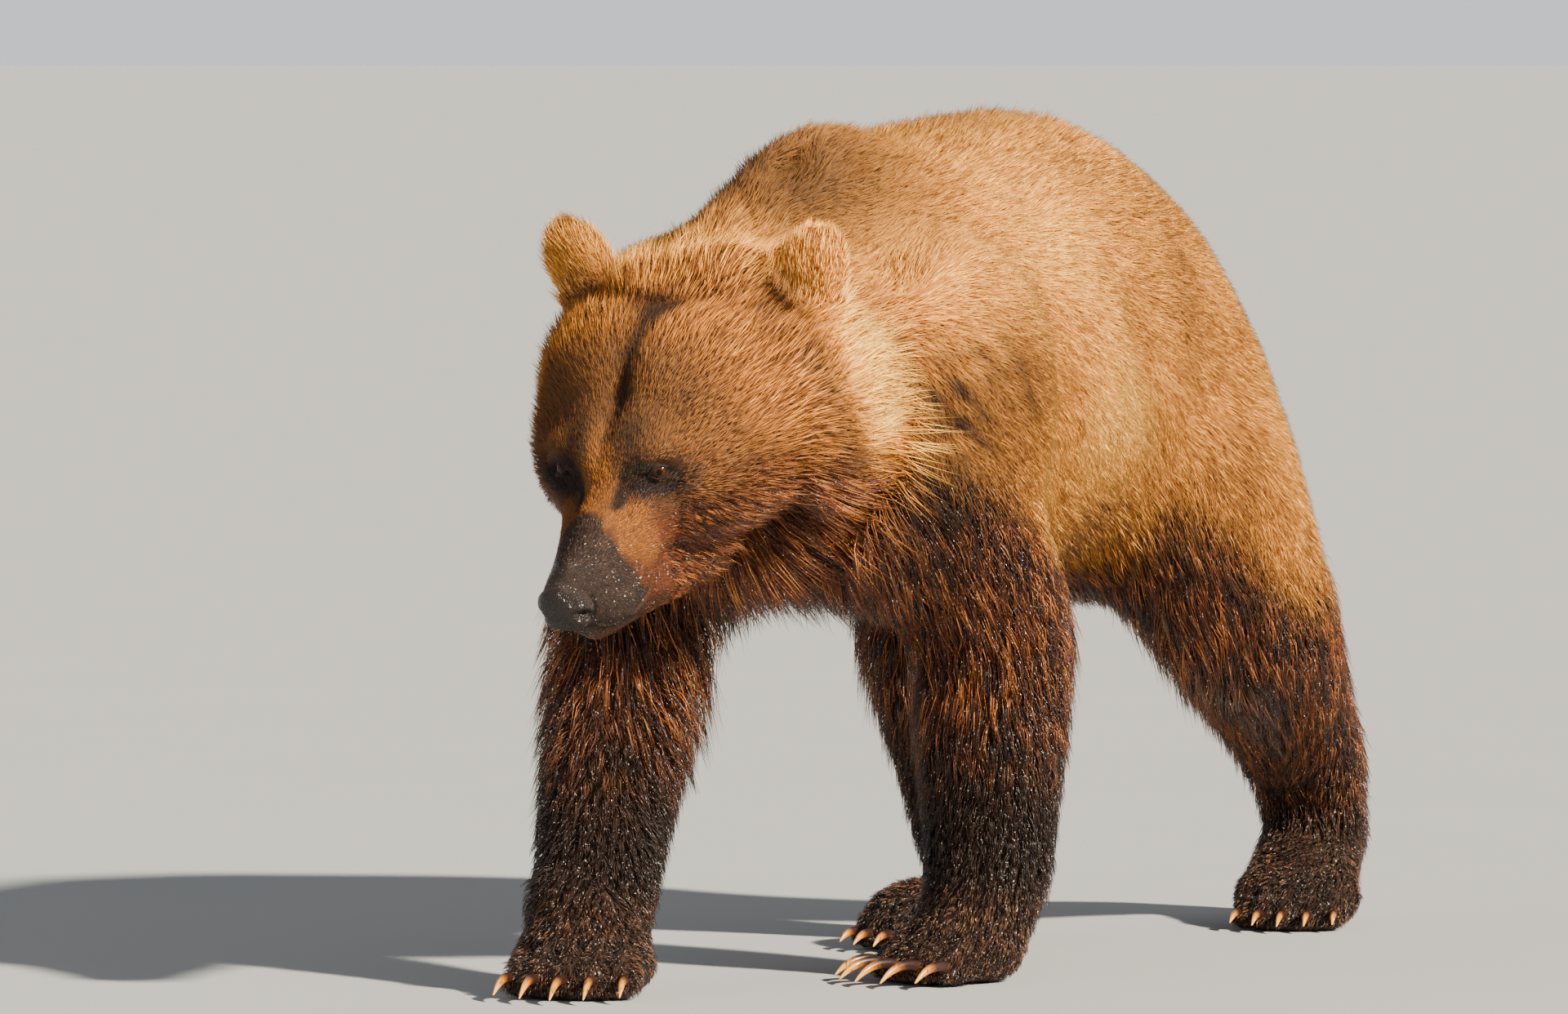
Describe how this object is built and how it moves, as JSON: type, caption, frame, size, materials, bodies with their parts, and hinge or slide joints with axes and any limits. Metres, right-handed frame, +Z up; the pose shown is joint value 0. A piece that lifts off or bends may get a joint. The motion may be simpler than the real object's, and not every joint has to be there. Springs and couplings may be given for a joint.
{
  "type": "grizzly bear figure",
  "caption": "Life-size grizzly bear in mid-stride with its head low and mouth closed; a still museum-style figure that stands on its four paws.",
  "frame": {"origin": "centre of the bounding box's base, on the floor between the four paws", "axes": "-Y towards the bear's head, +Y towards its tail, +X towards its own left side, +Z up"},
  "size_m": [0.5954, 1.7994, 1.0567],
  "materials": {
    "coat_golden": "dense golden-brown fur",
    "coat_light": "dense pale golden fur",
    "coat_dark": "wet dark brown fur",
    "muzzle": "short grey-brown fur",
    "nose": "moist dark skin",
    "eye": "polished dark brown",
    "claw": "amber horn with dark streaks"
  },
  "bodies": {
    "root": {"claw_fore_left_1": "claw", "claw_fore_left_2": "claw", "claw_fore_left_3": "claw", "claw_fore_left_4": "claw", "claw_fore_left_5": "claw", "claw_fore_right_1": "claw", "claw_fore_right_2": "claw", "claw_fore_right_3": "claw", "claw_fore_right_4": "claw", "claw_fore_right_5": "claw", "claw_hind_left_1": "claw", "claw_hind_left_2": "claw", "claw_hind_left_3": "claw", "claw_hind_left_4": "claw", "claw_hind_left_5": "claw", "claw_hind_right_1": "claw", "claw_hind_right_2": "claw", "claw_hind_right_3": "claw", "claw_hind_right_4": "claw", "claw_hind_right_5": "claw", "ear_left": "coat_light", "ear_right": "coat_light", "eye_left": "eye", "eye_right": "eye", "foreleg_left": "coat_dark", "foreleg_right": "coat_dark", "forepaw_left": "coat_dark", "forepaw_right": "coat_dark", "head": "coat_light", "hindleg_left": "coat_dark", "hindleg_right": "coat_dark", "hindpaw_left": "coat_dark", "hindpaw_right": "coat_dark", "jaw": "muzzle", "neck": "coat_golden", "nose": "nose", "tail": "coat_golden", "trunk": "coat_golden"}
  },
  "joints": []
}
